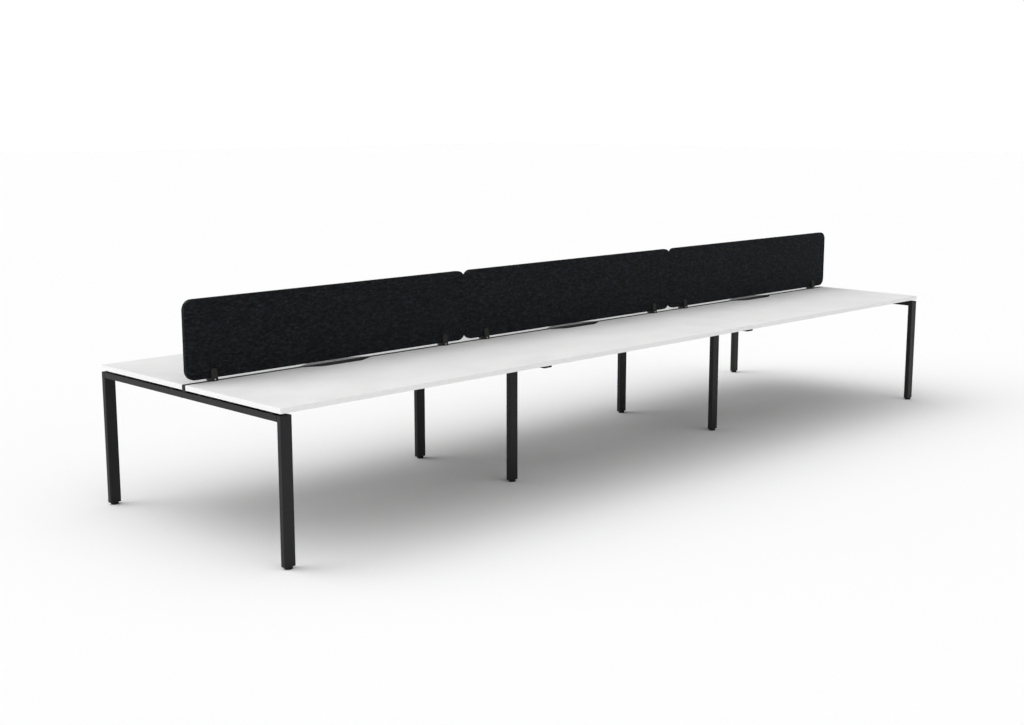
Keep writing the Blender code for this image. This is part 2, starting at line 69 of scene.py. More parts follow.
# Board tops
BAY_LENGTH = 1.8
TOP_CORNER = 0.003
BAND_THICKNESS = 0.002
BAND_ROUND = 0.0011
SEAM_ROUND = 0.0003
BAND_STEPS = 4
JOINT_DEPTH = 0.00018
JOINT_HALF = 0.00016
PANEL_GAP = 0.00002
SCALLOP_MOUTH = 0.220
SCALLOP_FLAT = 0.120
SCALLOP_DEPTH = 0.050
SCALLOP_INNER_RADIUS = 0.045
SCALLOP_OUTER_RADIUS = 0.018
SCALLOP_STEPS = 14
SAME_PLACE = 0.00001

# Frame tube
TUBE_WALL = 0.002
TUBE_CORNER = 0.004
TUBE_STEPS = 6
RIM_ROUND = 0.0005
LID_ROUND = 0.0008
STEM_HOLE = 0.0044
STEM_CAVITY = 0.011
STEM_CAVITY_TOP = 0.055
LEG_PLATE = 0.008
LEG_GROOVE = 0.0003

# Caps in the ends of the middle cross rails
CAP_FACE = 0.003
CAP_FIT = 0.0003
CAP_LIP = 0.0003
CAP_ROUND = 0.0012
PLUG_TIP_INSET = 0.0012
PLUG_LEAD = 0.004
PLUG_LEAD_INSET = 0.0002

# Pads and screws under the tops
PAD_LENGTH = 0.050
PAD_WIDTH = 0.024
PAD_CORNER = 0.010
PAD_INNER = 0.120
PAD_INSET = 0.045
PAD_EDGE = 0.0008
PAD_WELD = 0.0012
SLOT_LENGTH = 0.040
SLOT_WIDTH = 0.014
SLOT_FLAT = 0.0001
SCREW_SPACING = 0.026
SCREW_HOLE = 0.0028
SCREW_HEAD_RADIUS = 0.0048
SCREW_HEAD_HEIGHT = 0.0028
HOLE_SIDES = 20

# Socket heads, as shares of their radius or height
HEAD_SIDES = 36
DOME_STEPS = 6
HEAD_FOOT = 0.97
HEAD_LIP = 0.12
HEAD_WALL = 0.34
HEAD_DOME = 0.66
HEAD_FLAT = 0.62
SOCKET_SHARE = 0.42
SOCKET_CHAMFER = 0.05
SOCKET_CHAMFER_DEPTH = 0.06
SOCKET_DEPTH = 0.6
SOCKET_POINT = 0.12
SOCKET_POINT_DEPTH = 0.72

# Beams
BEAM_WIDTH = 0.024
BEAM_WALL = 0.002
BEAM_CORNER = 0.003
FLANGE_HEIGHT = 0.030
FLANGE_THICKNESS = 0.004
FLANGE_CORNER = 0.004
FLANGE_BOLT_SPACING = 0.056
FLANGE_BOLT_HOLE = 0.0035
WASHER_RADIUS = 0.0066
WASHER_THICKNESS = 0.0012
WASHER_WALL_SHARE = 0.8
WASHER_EDGE = 0.0003
HEX_RADIUS = 0.0056
HEX_HEIGHT = 0.0042
HEX_CHAMFER_DROP = 0.0005
HEX_CHAMFER_SHARE = 0.84
HEX_DISH_RIM_SHARE = 0.6
HEX_DISH_SHARE = 0.5
HEX_DISH_DEPTH = 0.0003

# Centre rail
CENTRE_CORNER = 0.001
CENTRE_END_EDGE = 0.0002
CENTRE_CAP_FACE = 0.0025
CENTRE_CAP_ROUND = 0.0008

# Weld beads
BEAD_RADIUS = 0.0015
BEAD_PITCH = 0.0022
BEAD_SIDES = 10
BEAD_STEPS = 4
BEAD_LEAST_STEPS = 8
BEAD_VALLEY_SHARE = 0.86
BEAD_RIPPLE_SHARE = 0.14
BEAD_TIP_SHARE = 0.15

# Feet
FOOT_SIDES = 64
FOOT_LOWER_ROUND = 0.0018
FOOT_UPPER_ROUND = 0.0010
STEM_BASE = 0.0107
STEM_RADIUS = 0.004
STEM_TIP = 0.0012
STEM_TIP_DRAFT = 0.0007
THREAD_DEPTH = 0.0006
THREAD_PITCH = 0.00125
THREAD_STEPS = 24
THREAD_LEVELS = 4
THREAD_RUN_IN = 0.0006
THREAD_START = 0.2

# Foot outline: inset from the rim and level
FOOT_SOLE = ((0.0045, 0.0012), (0.0036, 0.0002), (0.0030, 0))
FOOT_LINE = ((0, 0.0052), (0.0003, 0.0055), (0, 0.0058))

# Foot top: inset from the rim and drop, then radius of the hub and drop
FOOT_DISH = ((0.0060, 0), (0.0064, 0.0004))
FOOT_HUB = ((0.0062, 0.0004), (0.0058, 0), (0.0042, 0))

# Screens
SCREEN_CORNER = 0.050
SCREEN_EDGE = 0.0022
SCREEN_EDGE_STEPS = 6
SCREEN_CROWN = 0.0008
SCREEN_CROWN_REACH = 0.100
SCREEN_INSETS = (0.005, 0.008, 0.013, 0.020, 0.030, 0.042, 0.056, 0.075, 0.100, 0.130)
SCREEN_INNER_CORNER = 0.012
SCREEN_INNER_TAPER = 0.05
SCREEN_STEPS = 20

# Screen brackets and their bolts
BRACKET_DEPTH = 0.052
BRACKET_HEIGHT = 0.060
SLOT_HALF = 0.0128
SLOT_FLOOR = 0.0144
SLOT_FILLET = 0.002
SLIT_HALF = 0.001
SLIT_FLOOR = 0.0035
JAW_TIP = 0.005
JAW_FOOT = 0.0145
JAW_STRAIGHT = 0.050
JAW_TIP_ROUND = 0.0022
JAW_ARCH = 0.009
ARCH_STEPS = 10
BRACKET_EDGE = 0.0007
BRACKET_EDGE_ANGLE = 40
BOLT_LEVEL = 0.0092
BOLT_RECESS_RADIUS = 0.005
BOLT_RECESS = 0.001
BOLT_HOLE = 0.0028
BOLT_HOLE_SIDES = 40
BOLT_HEAD_HEIGHT = 0.0030
BOLT_SHANK = 0.0025
BOLT_SHANK_SIDES = 24

# Shading: creases sharper than this stay crisp
CREASE_ANGLE = 35

# Noise values where a change of tone or gloss starts and ends
TONE_SPAN = (0.35, 0.65)
COAT_SPAN = (0.36, 0.64)
WIDE_SPAN = (0.3, 0.7)

# Colours of each surface, darkest first
FACING = ((0.902, 0.902, 0.898), (0.924, 0.924, 0.922))
# Painted shade: a dark grey for the tops' undersides, so they throw less light down onto the floor
# beneath
UNDERSIDE_SHADE = ((0.200, 0.199, 0.195), (0.250, 0.248, 0.243))
BANDING = ((0.926, 0.926, 0.922), (0.946, 0.946, 0.944))
POWDER_BLACK = ((0.0060, 0.0060, 0.0063), (0.0110, 0.0110, 0.0114))
MOULDED_BLACK = ((0.0070, 0.0070, 0.0072), (0.0115, 0.0115, 0.0118))
FORK_GREY = ((0.0150, 0.0148, 0.0135), (0.0230, 0.0226, 0.0206))
DIE_BLACK = ((0.014, 0.014, 0.015), (0.026, 0.026, 0.028))
PLATED = ((0.50, 0.50, 0.49), (0.70, 0.70, 0.695))
YARN = ((0.0019, 0.0020, 0.0025), (0.0080, 0.0084, 0.0095), (0.0170, 0.0178, 0.0198),
        (0.052, 0.054, 0.058))
DYE = ((1.0, 0.98, 0.98), (0.95, 1.0, 1.16))

# Studio
CAMERA_PLACE = (-6.2448, -5.7247, 1.9931)
CAMERA_TURN = (80, 0, -45)
CAMERA_LENS = 50
CAMERA_SENSOR = 36
CAMERA_REACH = 300
FLOOR_HALF = 60
FLOOR_TONES = ((0.946, 0.946, 0.946), (0.95, 0.95, 0.95))

# Soft lights of the room: turn and rise in degrees, focus, level
CEILING = (0, 90, 2, 1.13)
KEY = (120, 60, 14, 1.76)
KEY_WASH = (145, 25, 8, 2.22)
FRONT_FILL = (270, 25, 6, 0.84)


# Outlines
def arc(centre, radius, start, stop, steps):
    """Return the points of an arc, both ends included, in degrees."""
    points = []
    for step in range(steps + 1):
        angle = math.radians(start + (stop - start) * step / steps)
        points.append((centre[0] + radius * math.cos(angle), centre[1] + radius * math.sin(angle)))
    return points


def rounded_rectangle(width, height, radius, steps):
    """Return an outline round the origin, anticlockwise from the right side."""
    x = width / 2 - radius
    y = height / 2 - radius
    points = []
    for centre, start in (((x, y), 0), ((-x, y), 90), ((-x, -y), 180), ((x, -y), 270)):
        points += arc(centre, radius, start, start + 90, steps)
    return points


def fillet(corner, before, after, radius, steps):
    """Return the arc that rounds a corner between its two neighbours."""
    ax, ay = before[0] - corner[0], before[1] - corner[1]
    bx, by = after[0] - corner[0], after[1] - corner[1]
    a_length, b_length = math.hypot(ax, ay), math.hypot(bx, by)
    ax, ay, bx, by = ax / a_length, ay / a_length, bx / b_length, by / b_length
    half = math.acos(max(-1.0, min(1.0, ax * bx + ay * by))) / 2
    reach = radius / math.tan(half)
    mx, my = ax + bx, ay + by
    scale = radius / math.sin(half) / math.hypot(mx, my)
    centre = (corner[0] + mx * scale, corner[1] + my * scale)
    first = (corner[0] + ax * reach, corner[1] + ay * reach)
    last = (corner[0] + bx * reach, corner[1] + by * reach)
    start = math.degrees(math.atan2(first[1] - centre[1], first[0] - centre[0]))
    stop = math.degrees(math.atan2(last[1] - centre[1], last[0] - centre[0]))
    sweep = (stop - start + 180) % 360 - 180
    return arc(centre, radius, start, start + sweep, steps)


def rounded_outline(corners):
    """Return an outline from (point, radius, steps), with each corner rounded by its radius."""
    points = []
    count = len(corners)
    for i, (corner, radius, steps) in enumerate(corners):
        if radius == 0:
            points.append(corner)
        else:
            points += fillet(corner, corners[i - 1][0], corners[(i + 1) % count][0], radius, steps)
    return points


def shifted(outline, du, dv):
    """Return an outline moved in its own plane."""
    return [(u + du, v + dv) for u, v in outline]


def circle(radius, sides):
    """Return a circle round the origin, its points half a side past the first axis."""
    turn = 2 * math.pi / sides
    return [(radius * math.cos((i + 0.5) * turn), radius * math.sin((i + 0.5) * turn))
            for i in range(sides)]


def polygon(radius, corners, sides):
    """Return a regular polygon of that corner radius as an outline of many points."""
    points = []
    wedge = 2 * math.pi / corners
    for i in range(sides):
        angle = (i + 0.5) * 2 * math.pi / sides
        offset = (angle % wedge) - wedge / 2
        reach = radius * math.cos(wedge / 2) / math.cos(offset)
        points.append((reach * math.cos(angle), reach * math.sin(angle)))
    return points


def drawn_in(outline, distance):
    """Return an anticlockwise outline drawn in by one distance, or by one for each point."""
    count = len(outline)
    points = []
    for i, (bx, by) in enumerate(outline):
        ax, ay = outline[i - 1]
        cx, cy = outline[(i + 1) % count]
        first = math.hypot(bx - ax, by - ay)
        second = math.hypot(cx - bx, cy - by)
        nx = -(by - ay) / first - (cy - by) / second
        ny = (bx - ax) / first + (cx - bx) / second
        reach = 2 / (nx * nx + ny * ny)
        step = distance[i] if isinstance(distance, list) else distance
        points.append((bx + nx * reach * step, by + ny * reach * step))
    return points


def place(point, level, axis):
    """Put an outline point at a level along an axis: x keeps (y, z), y (x, z) and z (x, y)."""
    if axis == "x":
        return (level, point[0], point[1])
    if axis == "y":
        return (point[0], level, point[1])
    return (point[0], point[1], level)


def soft_edge(radius, steps):
    """Return (inset, drop) pairs of a rounded edge, from the side wall to the flat face."""
    pairs = []
    for step in range(steps + 1):
        angle = math.pi / 2 * step / steps
        pairs.append((radius * (1 - math.cos(angle)), radius * (1 - math.sin(angle))))
    return pairs


# Mesh building
def add_skin(bm, rings, looped=False):
    """Bridge rings of equal counts, given as 3D points, with flat ends or as a loop."""
    loops = [[bm.verts.new(point) for point in ring] for ring in rings]
    pairs = list(zip(loops, loops[1:]))
    if looped:
        pairs.append((loops[-1], loops[0]))
    for low, high in pairs:
        for i in range(len(low)):
            j = (i + 1) % len(low)
            bm.faces.new((low[i], low[j], high[j], high[i]))
    if not looped:
        bm.faces.new(loops[0])
        bm.faces.new(loops[-1])


def add_loft(bm, rings, axis, looped=False):
    """Bridge outlines of equal counts, given as (outline, level)."""
    add_skin(bm, [[place(p, level, axis) for p in outline] for outline, level in rings], looped)


def add_lathe(bm, profile, centre, axis, sides):
    """Turn a profile of (radius, level) about an axis that runs through a centre."""
    add_loft(bm, [(shifted(circle(radius, sides), *centre), level) for radius, level in profile],
             axis)


def add_block(bm, outline, low, high, axis, edge, steps=3, low_edge=0.0):
    """Add a prism whose high rim, and low rim if asked, is rounded."""
    rings = []
    if low_edge:
        for inset, drop in reversed(soft_edge(low_edge, steps)):
            rings.append((drawn_in(outline, inset), low + drop * (1 if high > low else -1)))
    else:
        rings.append((outline, low))
    for inset, drop in soft_edge(edge, steps):
        rings.append((drawn_in(outline, inset), high - drop * (1 if high > low else -1)))
    add_loft(bm, rings, axis)


def new_object(name, bm):
    """Turn a bmesh into an object with its faces pointing out."""
    bmesh.ops.recalc_face_normals(bm, faces=bm.faces)
    mesh = bpy.data.meshes.new(name)
    bm.to_mesh(mesh)
    bm.free()
    thing = bpy.data.objects.new(name, mesh)
    bpy.context.collection.objects.link(thing)
    return thing


def settle(target):
    """Turn what the modifiers make into the piece's own mesh."""
    depsgraph = bpy.context.evaluated_depsgraph_get()
    mesh = bpy.data.meshes.new_from_object(target.evaluated_get(depsgraph))
    target.modifiers.clear()
    target.data = mesh


def boolean(target, tool, operation):
    """Join or cut a tool's shape and drop the tool."""
    modifier = target.modifiers.new("shape", "BOOLEAN")
    modifier.object = tool
    modifier.operation = operation
    modifier.solver = "EXACT"
    settle(target)
    bpy.data.objects.remove(tool, do_unlink=True)


def dress(thing, material, body="frame", nodes=()):
    """Give a piece its material, smooth it, and tie it to its body and CAD nodes."""
    mesh = thing.data
    mesh.materials.clear()
    mesh.materials.append(material)
    mesh.shade_smooth()
    mesh.set_sharp_from_angle(angle=math.radians(CREASE_ANGLE))
    shading = thing.modifiers.new("even_shading", "WEIGHTED_NORMAL")
    shading.keep_sharp = True
    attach(thing, body)
    if nodes:
        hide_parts(*nodes)


def middle_of(low, high):
    """Return the middle of a box."""
    return [(a + b) / 2 for a, b in zip(low, high)]


# Tops
def top_outline(low, high):
    """Return a front top seen from above and how far each point's edge is rounded."""
    x0, x1 = low[0], high[0]
    outer, inner = low[1], high[1]
    centre = round((x0 + x1) / 2 / BAY_LENGTH) * BAY_LENGTH
    floor = inner - SCALLOP_DEPTH
    outline = rounded_outline([
        ((x0, outer), TOP_CORNER, 6),
        ((x1, outer), TOP_CORNER, 6),
        ((x1, inner), 0, 0),
        ((centre + SCALLOP_MOUTH, inner), SCALLOP_OUTER_RADIUS, SCALLOP_STEPS),
        ((centre + SCALLOP_FLAT, floor), SCALLOP_INNER_RADIUS, SCALLOP_STEPS),
        ((centre - SCALLOP_FLAT, floor), SCALLOP_INNER_RADIUS, SCALLOP_STEPS),
        ((centre - SCALLOP_MOUTH, inner), SCALLOP_OUTER_RADIUS, SCALLOP_STEPS),
        ((x0, inner), 0, 0),
    ])
    rounds = []
    for x, _y in outline:
        left_seam = abs(x - x0) < SAME_PLACE and x0 > cad_bounds[0][0] + TOP_CORNER
        right_seam = abs(x - x1) < SAME_PLACE and x1 < cad_bounds[1][0] - TOP_CORNER
        rounds.append(SEAM_ROUND if left_seam or right_seam else BAND_ROUND)
    return outline, rounds


def band_rings(outline, rounds, low, high):
    """Return the rings of an edge band, from its upper joint over the edge to its lower joint."""
    count = len(outline)
    lip = BAND_THICKNESS - JOINT_HALF
    edge = soft_edge(1.0, BAND_STEPS)
    section = [([BAND_THICKNESS] * count, [high - JOINT_DEPTH] * count),
               ([lip] * count, [high] * count)]
    for inset, drop in reversed(edge):
        section.append(([inset * r for r in rounds], [high - drop * r for r in rounds]))
    for inset, drop in edge:
        section.append(([inset * r for r in rounds], [low + drop * r for r in rounds]))
    section += [([lip] * count, [low] * count),
                ([BAND_THICKNESS] * count, [low + JOINT_DEPTH] * count)]
    rings = []
    for insets, levels in section:
        rings.append([(x, y, z) for (x, y), z in zip(drawn_in(outline, insets), levels)])
    return rings


def build_tops():
    """Lay each top as a faced board with a band round its edge."""
    for bay in BAYS:
        low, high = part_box(f"desktop_front_{bay}")
        outline, rounds = top_outline(low, high)
        for side, sign in SIDES:
            board = bmesh.new()
            wall = BAND_THICKNESS + PANEL_GAP
            rings = []
            for inset, z in ((wall + JOINT_HALF, low[2]), (wall, low[2] + JOINT_DEPTH),
                             (wall, high[2] - JOINT_DEPTH), (wall + JOINT_HALF, high[2])):
                rings.append([(x, -sign * y, z) for x, y in drawn_in(outline, inset)])
            add_skin(board, rings)
            band = bmesh.new()
            rings = [[(x, -sign * y, z) for x, y, z in ring]
                     for ring in band_rings(outline, rounds, low[2], high[2])]
            add_skin(band, rings, looped=True)
            name = f"desktop_{side}_{bay}"
            dress(new_object(f"top_board_{side}_{bay}", board), LAMINATE,
                  nodes=(name,))
            dress(new_object(f"edge_band_{side}_{bay}", band), EDGE_BAND,
                  nodes=(name,))


# Welds
def add_bead(bm, start, end, radius):
    """Add a rippled weld bead along a straight line, tapered at both ends."""
    length = math.dist(start, end)
    along = [(b - a) / length for a, b in zip(start, end)]
    side = (-along[1], along[0], 0) if abs(along[2]) < 0.9 else (1, 0, 0)
    up = (along[1] * side[2] - along[2] * side[1], along[2] * side[0] - along[0] * side[2],
          along[0] * side[1] - along[1] * side[0])
    count = max(BEAD_LEAST_STEPS, round(length / BEAD_PITCH * BEAD_STEPS))
    rings = []
    for k in range(count + 1):
        t = k / count
        ripple = abs(math.sin(math.pi * t * length / BEAD_PITCH))
        swell = BEAD_VALLEY_SHARE + BEAD_RIPPLE_SHARE * ripple
        taper = min(1.0, math.sqrt(min(t, 1 - t) * length / radius) + BEAD_TIP_SHARE)
        r = radius * swell * taper
        centre = [a + (b - a) * t for a, b in zip(start, end)]
        rings.append([tuple(centre[j] + r * (u * side[j] + v * up[j]) for j in range(3))
                      for u, v in circle(1.0, BEAD_SIDES)])
    add_skin(bm, rings)


# Legs
def leg_rings(cx, cy, low, high, wide, narrow):
    """Return the rings of a leg, from the hole for the foot's stem to the closed top."""
    tube = shifted(rounded_rectangle(wide, narrow, TUBE_CORNER, TUBE_STEPS), cx, cy)
    sides = len(tube)
    hole = shifted(circle(STEM_HOLE, sides), cx, cy)
    cavity = shifted(circle(STEM_CAVITY, sides), cx, cy)
    plate = low + LEG_PLATE
    rings = [(cavity, STEM_CAVITY_TOP), (cavity, plate), (hole, plate), (hole, low + LEG_GROOVE),
             (shifted(circle(STEM_HOLE + LEG_GROOVE, sides), cx, cy), low),
             (drawn_in(tube, TUBE_WALL + LEG_GROOVE), low),
             (drawn_in(tube, TUBE_WALL), low + LEG_GROOVE),
             (drawn_in(tube, TUBE_WALL - LEG_GROOVE), low)]
    for inset, drop in reversed(soft_edge(RIM_ROUND, 2)):
        rings.append((drawn_in(tube, inset), low + drop))
    for inset, drop in soft_edge(LID_ROUND, 3):
        rings.append((drawn_in(tube, inset), high - drop))
    return rings


def build_legs():
    """Stand the legs, with a weld where each one meets its cross rail."""
    for kind in KINDS:
        for side, sign in SIDES:
            for frame_name, _way in ENDS:
                name = f"{kind}_leg_{side}_{frame_name}"
                low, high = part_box(name)
                cx, cy, _cz = middle_of(low, high)
                bm = bmesh.new()
                rings = leg_rings(cx, cy, low[2], high[2], high[0] - low[0], high[1] - low[1])
                add_loft(bm, rings, "z")
                dress(new_object(f"leg_{kind}_{side}_{frame_name}", bm), POWDER_COAT,
                      nodes=(name,))
                bead = bmesh.new()
                reach = (high[0] - low[0]) / 2 - TUBE_CORNER
                if kind == "end":
                    y = cy - sign * (high[1] - low[1]) / 2
                    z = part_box(f"end_rail_{frame_name}")[0][2]
                    add_bead(bead, (cx - reach, y, z), (cx + reach, y, z), BEAD_RADIUS)
                else:
                    for y in (low[1], high[1]):
                        add_bead(bead, (cx - reach, y, high[2]), (cx + reach, y, high[2]),
                                 BEAD_RADIUS)
                dress(new_object(f"weld_{kind}_{side}_{frame_name}", bead), POWDER_COAT)


# Cross rails
def build_cross_rail(kind, frame_name):
    """Make a cross rail: a tube with pads for the tops, screw holes and access slots."""
    name = f"{kind}_rail_{frame_name}"
    low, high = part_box(name)
    cx = (low[0] + high[0]) / 2
    bottom, half_length = low[2], high[1]
    wide = high[0] - low[0]
    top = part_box(f"{kind}_leg_front_{frame_name}")[1][2] if kind == "end" else bottom + wide / 2
    cz = (bottom + top) / 2
    tube = shifted(rounded_rectangle(wide, wide / 2, TUBE_CORNER, TUBE_STEPS), cx, cz)
    bm = bmesh.new()
    rings = []
    for sign in (-1, 1):
        edge = [(drawn_in(tube, inset), sign * (half_length - drop))
                for inset, drop in soft_edge(RIM_ROUND, 2)]
        inner = (drawn_in(tube, TUBE_WALL), sign * half_length)
        rings += [inner] + edge[::-1] if sign < 0 else edge + [inner]
    add_loft(bm, rings, "y", looped=True)
    rail = new_object(f"cross_rail_{kind}_{frame_name}", bm)
    pads, cuts, screws = bmesh.new(), bmesh.new(), bmesh.new()
    pad = rounded_rectangle(PAD_LENGTH, PAD_WIDTH, PAD_CORNER, 5)
    slot = rounded_rectangle(SLOT_LENGTH, SLOT_WIDTH, SLOT_WIDTH / 2 - SLOT_FLAT, 6)
    for offset in (PAD_INNER, half_length - PAD_INSET):
        for sign in (-1, 1):
            y = sign * offset
            at = shifted(pad, cx, y)
            rings = [(drawn_in(at, -PAD_WELD), top - TUBE_WALL / 2),
                     (drawn_in(at, -PAD_WELD), top + PAD_WELD / 4), (at, top + PAD_WELD)]
            for inset, drop in soft_edge(PAD_EDGE, 3):
                rings.append((drawn_in(at, inset), high[2] - drop))
            add_loft(pads, rings, "z")
            at = shifted(slot, cx, y)
            add_loft(cuts, [(at, bottom - TUBE_WALL), (at, bottom + 2 * TUBE_WALL)], "z")
            for step in (-1, 1):
                x = cx + step * SCREW_SPACING / 2
                bore = [(SCREW_HOLE, top - 2 * TUBE_WALL), (SCREW_HOLE, high[2] + TUBE_WALL)]
                add_lathe(cuts, bore, (x, y), "z", HOLE_SIDES)
                add_socket_head(screws, (x, y), top - TUBE_WALL, -1, "z", SCREW_HEAD_RADIUS,
                                SCREW_HEAD_HEIGHT)
    boolean(rail, new_object("pads", pads), "UNION")
    boolean(rail, new_object("cuts", cuts), "DIFFERENCE")
    dress(rail, POWDER_COAT, nodes=(name,))
    dress(new_object(f"pad_screws_{kind}_{frame_name}", screws), ZINC)


def build_rail_caps():
    """Plug the open ends of the middle cross rails with moulded caps."""
    for side, sign in SIDES:
        for frame_name, _way in ENDS:
            name = f"rail_cap_{side}_{frame_name}"
            low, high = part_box(name)
            cx, _cy, cz = middle_of(low, high)
            outside = sign * max(abs(low[1]), abs(high[1]))
            inside = sign * min(abs(low[1]), abs(high[1]))
            seat = outside - sign * CAP_FACE
            face = shifted(rounded_rectangle(high[0] - low[0], high[2] - low[2], TUBE_CORNER,
                                             TUBE_STEPS), cx, cz)
            plug = drawn_in(face, TUBE_WALL + CAP_FIT)
            rings = [(drawn_in(plug, PLUG_TIP_INSET), inside),
                     (drawn_in(plug, PLUG_LEAD_INSET), inside + sign * PLUG_LEAD), (plug, seat),
                     (drawn_in(face, CAP_LIP), seat), (face, seat + sign * CAP_LIP)]
            rings += [(drawn_in(face, inset), outside - sign * drop)
                      for inset, drop in soft_edge(CAP_ROUND, 4)]
            bm = bmesh.new()
            add_loft(bm, rings, "y")
            dress(new_object(f"end_cap_{side}_{frame_name}", bm), PLASTIC,
                  nodes=(name,))


# Beams
def build_beams():
    """Tie the cross rails together under the tops, each beam bolted on by its end plates."""
    for side, _way in SIDES:
        for bay in BAYS:
            name = f"beam_{side}_{bay}"
            low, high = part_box(name)
            cy = (low[1] + high[1]) / 2
            plate_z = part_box("end_rail_left")[0][2] + FLANGE_HEIGHT / 2
            tall = high[2] - low[2]
            tube = shifted(rounded_rectangle(BEAM_WIDTH, tall, BEAM_CORNER, 5), cy,
                           (low[2] + high[2]) / 2)
            bm = bmesh.new()
            add_loft(bm, [(tube, low[0]), (tube, high[0])], "x")
            beam = new_object(f"cross_beam_{side}_{bay}", bm)
            plates, cuts, bolts = bmesh.new(), bmesh.new(), bmesh.new()
            bore = drawn_in(tube, BEAM_WALL)
            add_loft(cuts, [(bore, low[0] - FLANGE_THICKNESS),
                            (bore, high[0] + FLANGE_THICKNESS)], "x")
            plate = shifted(rounded_rectangle(high[1] - low[1], FLANGE_HEIGHT, FLANGE_CORNER, 4),
                            cy, plate_z)
            for end, way in ((low[0], 1), (high[0], -1)):
                inner = end + way * FLANGE_THICKNESS
                add_block(plates, plate, end, inner, "x", RIM_ROUND, 2)
                for step in (-1, 1):
                    at = (cy + step * FLANGE_BOLT_SPACING / 2, plate_z)
                    bolt_hole = [(FLANGE_BOLT_HOLE, end - way * FLANGE_THICKNESS),
                                 (FLANGE_BOLT_HOLE, inner + way * FLANGE_THICKNESS)]
                    add_lathe(cuts, bolt_hole, at, "x", HOLE_SIDES)
                    add_hex_bolt(bolts, at, inner, way, "x")
            boolean(beam, new_object("plates", plates), "UNION")
            boolean(beam, new_object("cuts", cuts), "DIFFERENCE")
            dress(beam, POWDER_COAT, nodes=(name,))
            dress(new_object(f"plate_bolts_{side}_{bay}", bolts), ZINC)


# Fasteners
def add_socket_head(bm, centre, seat, way, axis, radius, height):
    """Add a domed screw head with a hexagon socket, standing on its seat."""
    def disc(share):
        return shifted(circle(radius * share, HEAD_SIDES), *centre)

    def hexagon(share):
        return shifted(polygon(radius * share, 6, HEAD_SIDES), *centre)

    rings = [(disc(HEAD_FOOT), seat), (disc(1), seat + way * height * HEAD_LIP)]
    for step in range(DOME_STEPS + 1):
        angle = math.pi / 2 * step / DOME_STEPS
        level = HEAD_WALL + HEAD_DOME * math.sin(angle)
        rings.append((disc(HEAD_FLAT + (1 - HEAD_FLAT) * math.cos(angle)),
                      seat + way * height * level))
    top = seat + way * height
    rings += [(hexagon(SOCKET_SHARE + SOCKET_CHAMFER), top),
              (hexagon(SOCKET_SHARE), top - way * height * SOCKET_CHAMFER_DEPTH),
              (hexagon(SOCKET_SHARE), top - way * height * SOCKET_DEPTH),
              (disc(SOCKET_POINT), top - way * height * SOCKET_POINT_DEPTH)]
    add_loft(bm, rings, axis)


def add_hex_bolt(bm, centre, seat, way, axis):
    """Add a hexagon bolt head on its washer."""
    def disc(share):
        return shifted(circle(HEX_RADIUS * share, HEAD_SIDES), *centre)

    washer = shifted(circle(WASHER_RADIUS, HEAD_SIDES), *centre)
    rings = [(washer, seat), (washer, seat + way * WASHER_THICKNESS * WASHER_WALL_SHARE),
             (drawn_in(washer, WASHER_EDGE), seat + way * WASHER_THICKNESS)]
    add_loft(bm, rings, axis)
    base = seat + way * WASHER_THICKNESS
    top = base + way * HEX_HEIGHT
    hexagon = shifted(polygon(HEX_RADIUS, 6, HEAD_SIDES), *centre)
    rings = [(hexagon, base), (hexagon, top - way * HEX_CHAMFER_DROP),
             (disc(HEX_CHAMFER_SHARE), top), (disc(HEX_DISH_RIM_SHARE), top),
             (disc(HEX_DISH_SHARE), top - way * HEX_DISH_DEPTH)]
    add_loft(bm, rings, axis)


# Centre rail
def build_centre_rail():
    """Fill the gap between the tops with a black extrusion and close its two ends."""
    for bay in BAYS:
        name = f"centre_rail_{bay}"
        low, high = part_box(name)
        section = shifted(rounded_rectangle(high[1] - low[1], high[2] - low[2], CENTRE_CORNER, 5),
                          0, (low[2] + high[2]) / 2)
        bm = bmesh.new()
        rim = drawn_in(section, CENTRE_END_EDGE)
        add_loft(bm, [(rim, low[0]), (section, low[0] + CENTRE_END_EDGE),
                      (section, high[0] - CENTRE_END_EDGE), (rim, high[0])], "x")
        dress(new_object(f"gap_rail_{bay}", bm), ANODISED, nodes=(name,))
    for frame_name, sign in ENDS:
        name = f"centre_rail_cap_{frame_name}"
        low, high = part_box(name)
        outside = sign * max(abs(low[0]), abs(high[0]))
        seat = outside - sign * CENTRE_CAP_FACE
        section = shifted(rounded_rectangle(high[1] - low[1], high[2] - low[2], CENTRE_CORNER, 5),
                          0, (low[2] + high[2]) / 2)
        bm = bmesh.new()
        add_block(bm, section, seat, outside, "x", CENTRE_CAP_ROUND, 4,
                  low_edge=CENTRE_END_EDGE)
        dress(new_object(f"gap_cap_{frame_name}", bm), PLASTIC, nodes=(name,))


# Feet
def add_thread(bm, cx, cy, low, high):
    """Add a threaded stem as one closed helical form with flat ends."""
    rings = []
    levels = int((high - low) / (THREAD_PITCH / THREAD_LEVELS))
    for k in range(levels + 1):
        z = low + (high - low) * k / levels
        ring = []
        for i in range(THREAD_STEPS):
            angle = 2 * math.pi * i / THREAD_STEPS
            phase = ((z - low) / THREAD_PITCH - i / THREAD_STEPS) % 1.0
            ridge = 1 - abs(2 * phase - 1)
            tip = min(1.0, (high - z) / STEM_TIP)
            ease = min(tip, (z - low) / THREAD_RUN_IN + THREAD_START)
            r = STEM_RADIUS - THREAD_DEPTH * (1 - ridge) * ease - (1 - tip) * STEM_TIP_DRAFT
            ring.append((cx + r * math.cos(angle), cy + r * math.sin(angle), z))
        rings.append(ring)
    add_skin(bm, rings)


